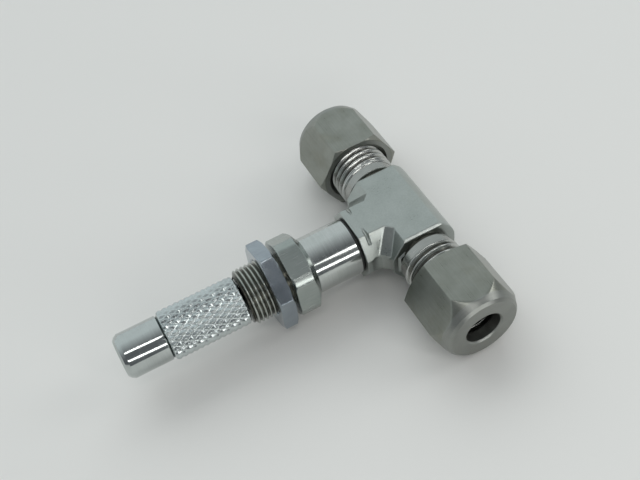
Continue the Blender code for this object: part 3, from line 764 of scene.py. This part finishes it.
def make_tube_nut(side):
    """A hexagon with a turned, narrowing end, and the thread that runs on the fitting."""
    bevel, drop = NUT_BEVEL
    outline = fillet([
        (NUT_INNER, NUT_THREAD_R + 0.55, 0.06), (NUT_INNER, NUT_CORNER_R - drop, 0.06),
        (NUT_INNER + bevel, NUT_TOP_R, 0.1), (NUT_SHOULDER, NUT_TOP_R), (*NUT_NOSE, 0.05),
        (NUT_OUTER, NUT_FACE_R, 0.05), (NUT_OUTER, NUT_HOLE_R + 0.28, 0.08),
        (NUT_OUTER - 0.3, NUT_HOLE_R, 0.06), (NUT_HOLE_START, NUT_HOLE_R, 0.05),
        (NUT_SEAT, NUT_RELIEF_R, 0.1), (NUT_THREAD_END, NUT_RELIEF_R, 0.05),
        (NUT_THREAD_END, NUT_THREAD_R, 0.05), (NUT_INNER + NUT_MOUTH, NUT_THREAD_R, 0.1),
    ])

    def keep(t, r):
        return r > NUT_WALL_R or (r < NUT_THREAD_R + 0.15 and NUT_INNER + 0.28 < t < NUT_THREAD_END - 0.04)

    outline = thin(densify(outline, NUT_STEP), 3, keep)

    def shape(t, r, angles):
        flats = hex_radius(angles, NUT_FLATS / 2, 0.0)
        outer = np.where(r > NUT_WALL_R, smooth_min(r, flats, 0.05), r)
        height = thread_height(side, t, angles, FIT_PITCH, THREAD_FLAT)
        start = NUT_INNER + 0.3
        cut = np.clip((t - start) / 0.6, 0.0, 1.0) * NUT_THREAD_DEPTH * (1.0 - height)
        along = (t > start) & (t < NUT_THREAD_END - 0.02)
        female = along & (r < NUT_THREAD_R + 0.05) & (r > NUT_THREAD_R - 0.15)
        return np.where(female, r - cut, outer)

    def slot_of(t, r):
        return 0 if r > NUT_FLATS / 2 - 0.1 and t < NUT_FLATS_END else 1

    return turned(side + "_nut_detail", side, outline, hex_columns(0.0), [NUT_STEEL, NUT_TURNED],
                  shape, slot_of)


FERRULE_BORE_R = 3.2
FERRULE_R = 4.45
FRONT_START = 19.4
FRONT_STEP = 21.2
FRONT_END = 22.7
BACK_START = 22.25
BACK_STEP = 22.95
BACK_END = 24.2


def make_ferrules(side):
    """The front and the back ferrule: two tapered rings, the second inside the first's end."""
    bore = FERRULE_BORE_R
    front = fillet([
        (FRONT_START, bore), (FRONT_START, bore + 0.1, 0.03), (FRONT_STEP, 3.95, 0.08),
        (FRONT_STEP, FERRULE_R - 0.1, 0.1), (FRONT_END, FERRULE_R, 0.12), (FRONT_END, 4.1, 0.05),
        (FRONT_END - 0.8, bore, 0.04),
    ])
    back = fillet([
        (BACK_START, bore), (BACK_START, bore + 0.1, 0.03), (BACK_STEP, 4.0, 0.06),
        (BACK_STEP, FERRULE_R, 0.08), (BACK_END - 0.6, FERRULE_R, 0.1), (BACK_END, 3.75, 0.08),
        (BACK_END, bore, 0.06),
    ])
    made = []
    for which, outline in (("front", front), ("back", back)):
        name = "{}_{}_ferrule_detail".format(side, which)
        made.append(turned(name, side, outline, RING_COLUMNS, [FERRULE_STEEL]))
    return made


# ------------------------------------------------------------------------- handle and stem

HANDLE_START = 32.05
HANDLE_END = 54.8
HANDLE_BORE_R = 2.0
HANDLE_BORE_END = 50.7
KNURL_END = 46.3
KNURL_R = 4.6
KNURL_STARTS = 24           # grooves of one hand round the grip
KNURL_DEPTH = 0.4
KNURL_PITCH = 2.086         # along the axis, for one groove's width round the grip
KNURL_ACROSS = 16           # columns a groove
KNURL_INSET = 0.12
KNURL_EASE = 0.06           # how softly the points and the grooves end
KNURL_HIGH = 0.97
KNURL_LOW = 0.02
KNURL_TAPER = (0.45, 0.9)   # reach and slope of the chamfers at both ends
TIP_START = 46.65
TIP_R = 4.14
TIP_EDGE = 0.32
TIP_COLUMNS = 144
SCREW_STATION = 49.0
SCREW_ANGLES = (350.0, 260.0)
SCREW_HOLE = (1.2, 6.0)     # how far from the axis a drilled hole reaches, from and to
SCREW_HOLE_R = 1.1
SCREW_HOLE_SIDES = 48
END_SHARP = 24.0            # degrees between faces from which an edge is sharp

STEM_COLUMNS = 56
STEM_THREAD_DEPTH = 0.36
STEM_STEP = 0.1


def make_handle():
    """Knurled grip: two crossing sets of grooves leave pointed diamonds."""
    step = KNURL_PITCH / KNURL_ACROSS
    rows = int((KNURL_END - HANDLE_START) / step)
    outline = [(HANDLE_START, 2.5), (HANDLE_START, KNURL_R - 0.55)]
    outline += [(HANDLE_START + KNURL_INSET + step * k, KNURL_R) for k in range(rows)]
    outline += [
        (KNURL_END + 0.05, KNURL_R - 0.5), (TIP_START - 0.06, TIP_R - TIP_EDGE),
        (TIP_START - 0.06, HANDLE_BORE_R), (HANDLE_START + 0.5, HANDLE_BORE_R),
    ]

    def shape(t, r, angles):
        turns = angles / TAU * KNURL_STARTS
        climb = (t - HANDLE_START - KNURL_INSET) / KNURL_PITCH
        wave_a = 1.0 - np.abs(2.0 * np.mod(turns + climb, 1.0) - 1.0)
        wave_b = 1.0 - np.abs(2.0 * np.mod(turns - climb, 1.0) - 1.0)
        height = smooth_min(smooth_min(wave_a, wave_b, KNURL_EASE), KNURL_HIGH, KNURL_EASE)
        height = smooth_max(height, KNURL_LOW, KNURL_EASE)
        edge = np.minimum(t - HANDLE_START, KNURL_END + 0.1 - t)
        reach, slope = KNURL_TAPER
        top = KNURL_R - np.maximum(reach - edge, 0.0) * slope
        cut = np.minimum(top, KNURL_R - KNURL_DEPTH * (1.0 - height))
        on_knurl = (t > HANDLE_START + 0.05) & (t < KNURL_END) & (r > KNURL_R - 0.01)
        return np.where(on_knurl, cut, r)

    columns = KNURL_STARTS * KNURL_ACROSS
    return turned("handle_detail", "stem", outline, columns, [KNURL_STEEL], shape)


def drill(piece, angle):
    """Cut one set screw's hole, square to the stem line, out of a piece."""
    axis, u, v = LINES["stem"]
    out = math.cos(angle) * u + math.sin(angle) * v
    low, high = SCREW_HOLE
    centre = Vector((axis * SCREW_STATION + out * (low + high) / 2 + CROSS) * MM)
    place = Matrix.Translation(centre) @ Vector(out).to_track_quat("Z", "Y").to_matrix().to_4x4()
    shape = bmesh.new()
    bmesh.ops.create_cone(
        shape, cap_ends=True, segments=SCREW_HOLE_SIDES, radius1=SCREW_HOLE_R * MM,
        radius2=SCREW_HOLE_R * MM, depth=(high - low) * MM, matrix=place)
    cutter_mesh = bpy.data.meshes.new("drill")
    shape.to_mesh(cutter_mesh)
    shape.free()
    cutter = bpy.data.objects.new("drill", cutter_mesh)
    bpy.context.scene.collection.objects.link(cutter)
    cut = piece.modifiers.new("hole", "BOOLEAN")
    cut.object = cutter
    cut.operation = "DIFFERENCE"
    cut.solver = "EXACT"
    bpy.context.view_layer.update()
    graph = bpy.context.evaluated_depsgraph_get()
    drilled = bpy.data.meshes.new_from_object(piece.evaluated_get(graph))
    piece.modifiers.clear()
    piece.data = drilled
    bpy.data.objects.remove(cutter)
    bpy.data.meshes.remove(cutter_mesh)
    drilled.shade_smooth()
    drilled.set_sharp_from_angle(angle=math.radians(END_SHARP))


def make_handle_end():
    """The smooth, narrower end, with the two holes of the set screws."""
    start = TIP_START - 0.03
    outline = fillet([
        (start, HANDLE_BORE_R), (start, TIP_R - TIP_EDGE), (TIP_START + 0.12, TIP_R, 0.1),
        (HANDLE_END - 1.05, TIP_R, 0.12), (HANDLE_END - 0.4, TIP_R - 0.36, 0.12),
        (HANDLE_END, 3.3, 0.15), (HANDLE_END, 0.0), (HANDLE_BORE_END, 0.0),
        (HANDLE_BORE_END, HANDLE_BORE_R),
    ])
    made = turned("handle_end_detail", "stem", outline, TIP_COLUMNS, [TIP_STEEL], sharp=END_SHARP)
    for angle in SCREW_ANGLES:
        drill(made, math.radians(angle))
    return made


def make_stem():
    """The stem inside: foot, collar, seal groove, shank, shoulder, thread and the handle's seat."""
    foot_r, collar_r, land_r, groove_r = 1.8, 3.6, 3.05, 2.2
    shank_r, thread_r, seat_r, needle_r = 1.5, 2.38, 1.95, 1.05
    outline = fillet([
        (2.6, needle_r), (2.6, foot_r, 0.1), (4.7, foot_r, 0.1), (4.7, collar_r, 0.15),
        (5.7, collar_r, 0.15), (5.7, land_r, 0.1), (9.95, land_r, 0.05), (9.95, groove_r, 0.05),
        (11.05, groove_r, 0.05), (11.05, land_r, 0.05), (11.4, land_r, 0.05),
        (11.4, shank_r, 0.1), (15.2, shank_r, 0.1), (15.2, land_r, 0.05), (15.9, land_r, 0.1),
        (16.3, thread_r, 0.05), (31.9, thread_r, 0.05), (32.4, seat_r, 0.1), (50.4, seat_r, 0.15),
        (50.4, 0.0), (6.8, 0.0), (6.8, needle_r),
    ], 2)
    outline = densify(outline, STEM_STEP, 24.0, 32.0)
    outline = densify(outline, STEM_STEP, 16.3, 31.95)

    def shape(t, r, angles):
        height = thread_height("stem", t, angles, PANEL_PITCH, THREAD_FLAT)
        threaded = (t > 16.5) & (t < 31.95) & (r > thread_r - 0.08)
        return np.where(threaded, r - STEM_THREAD_DEPTH * (1.0 - height), r)

    return turned("stem_detail", "stem", outline, STEM_COLUMNS, [STEM_STEEL], shape)


# ---------------------------------------------------------------- the pieces on their bodies

def replaced_node(name):
    """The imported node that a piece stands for."""
    if name.startswith("valve_body"):
        return "valve_body"
    target = name.removesuffix("_detail")
    return "handle" if target == "handle_end" else target


bodies = {
    "valve": make_body() + [make_bonnet(), make_bonnet_seal()],
    "stem_and_handle": [make_handle(), make_handle_end(), make_stem()],
    "panel_nut": [make_panel_nut()],
}
for side in ("inlet", "outlet"):
    bodies[side + "_nut"] = [make_tube_nut(side)]
    bodies[side + "_ferrules"] = make_ferrules(side)

for body, made in bodies.items():
    for piece in made:
        target = replaced_node(piece.name)
        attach(piece, body)
        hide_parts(target)

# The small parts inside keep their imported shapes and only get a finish
CARRIED = {
    "seat_insert": HARD_STEEL, "needle": HARD_STEEL, "set_screw_1": HARD_STEEL,
    "set_screw_2": HARD_STEEL, "stem_o_ring": RUBBER, "inner_backup_ring": WHITE,
    "outer_backup_ring": WHITE, "stem_guide_ring": WHITE,
}
for name, finish in CARRIED.items():
    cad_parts[name].material_slots[0].material = finish


# ------------------------------------------------------------------ floor, light and camera

FLOOR_TOUCH = (-1.71 * MM, 1.07 * MM)   # x where the panel nut rests, height where the nuts do
FLOOR_RUN = 29.1 * MM
FLOOR_SIZE = 1.6
FLOOR_CELLS = 24
FLOOR_COLOUR = (0.78, 0.77, 0.75, 1.0)

SKY_FRONT = (0.15, 0.16, 0.17)
SKY_TOP = (0.37, 0.395, 0.405)
SKY_BACK = (0.70, 0.76, 0.77)
SKY_SPAN = (-0.45, 0.5)     # from the front to the back, as a direction's y
WARM_WHITE = (1.0, 1.0, 0.98)
COOL_WHITE = (0.97, 1.0, 1.0)

# Each lamp's name, the ends of its long side in mm from the crossing, its width in mm, its watts
LAMPS = (
    ("strip_high_left", (-250, -190, 520), (44, -222, 440), 50, 0.26),
    ("strip_high_right", (98, -332, 378), (330, -560, 260), 52, 0.28),
    ("strip_low", (-330, -450, 300), (330, -480, 90), 58, 0.60),
    ("window_right", (330, -180, 330), (480, -40, 330), 190, 0.30),
)
FILL_LAMP = ("panel_back", (-500, 520, 520), (600, 520, 520), 520, 1.9)

CAMERA_PLACE = (-49.73, -94.44, 130.67)       # in mm from the crossing
CAMERA_AIM = (-14.21, 4.09, 0.0)
CAMERA_ROLL = math.radians(-10.3)
LENS = 52.06
SENSOR = 36.0


def make_floor():
    """A pale plane, tilted so that the two tube nuts and the panel nut rest on it."""
    slope = FLOOR_TOUCH[1] / FLOOR_RUN
    spots = np.linspace(-FLOOR_SIZE, FLOOR_SIZE, FLOOR_CELLS)
    points = [(x, y, (x - FLOOR_TOUCH[0]) * slope) for y in spots for x in spots]
    faces = []
    for j in range(FLOOR_CELLS - 1):
        for i in range(FLOOR_CELLS - 1):
            a = j * FLOOR_CELLS + i
            faces.append((a, a + 1, a + 1 + FLOOR_CELLS, a + FLOOR_CELLS))
    mesh = bpy.data.meshes.new("floor")
    mesh.from_pydata(points, [], faces)
    floor = bpy.data.objects.new("floor", mesh)
    bpy.context.scene.collection.objects.link(floor)
    made = bpy.data.materials.new("pale_floor")
    made.use_nodes = True
    shader = made.node_tree.nodes["Principled BSDF"]
    shader.inputs["Base Color"].default_value = FLOOR_COLOUR
    shader.inputs["Roughness"].default_value = 0.55
    shader.inputs["Specular IOR Level"].default_value = 0.3
    mesh.materials.append(made)


def softbox(name, start, end, width, power, colour):
    """A flat lamp whose long side runs between two points in mm from the crossing."""
    start = Vector((np.array(start) + CROSS) * MM)
    end = Vector((np.array(end) + CROSS) * MM)
    centre = (start + end) / 2
    along = (end - start).normalized()
    facing = -centre.normalized()
    across = facing.cross(along).normalized()
    facing = along.cross(across)
    lamp = bpy.data.lights.new(name, "AREA")
    lamp.shape = "RECTANGLE"
    lamp.size = (end - start).length
    lamp.size_y = width * MM
    lamp.energy = power
    lamp.color = colour
    made = bpy.data.objects.new(name, lamp)
    turn = Matrix((along, across, -facing)).transposed().to_4x4()
    made.matrix_world = Matrix.Translation(centre) @ turn
    bpy.context.scene.collection.objects.link(made)
    return made


def make_light():
    """A sky that brightens towards the back, soft lamps in front and a wide fill behind."""
    world = bpy.data.worlds.new("studio")
    world.use_nodes = True
    tree = world.node_tree
    place = node(tree, "ShaderNodeTexCoord")
    split = node(tree, "ShaderNodeSeparateXYZ")
    tree.links.new(place.outputs["Generated"], split.inputs[0])
    level = spread(tree, split.outputs["Y"], 0.0, 1.0, *SKY_SPAN)
    sky = ramp(tree, level, ((0.0, SKY_FRONT), (0.4, SKY_TOP), (1.0, SKY_BACK)))
    tree.links.new(sky, tree.nodes["Background"].inputs["Color"])
    bpy.context.scene.world = world
    for lamp in LAMPS:
        softbox(*lamp, WARM_WHITE)
    fill = softbox(*FILL_LAMP, COOL_WHITE)
    fill.visible_glossy = False


def make_camera():
    """The valve seen from above and in front, the handle's end to the left."""
    lens = bpy.data.cameras.new("camera")
    lens.sensor_width = SENSOR
    lens.lens = LENS
    lens.clip_start = 0.005
    place = Vector((np.array(CAMERA_PLACE) + CROSS) * MM)
    aim = Vector((np.array(CAMERA_AIM) + CROSS) * MM)
    level = (aim - place).to_track_quat("-Z", "Y").to_matrix().to_4x4()
    camera = bpy.data.objects.new("camera", lens)
    camera.matrix_world = Matrix.Translation(place) @ level @ Matrix.Rotation(CAMERA_ROLL, 4, "Z")
    bpy.context.scene.collection.objects.link(camera)
    bpy.context.scene.camera = camera


make_floor()
make_light()
make_camera()
bpy.context.scene.view_settings.view_transform = "Standard"
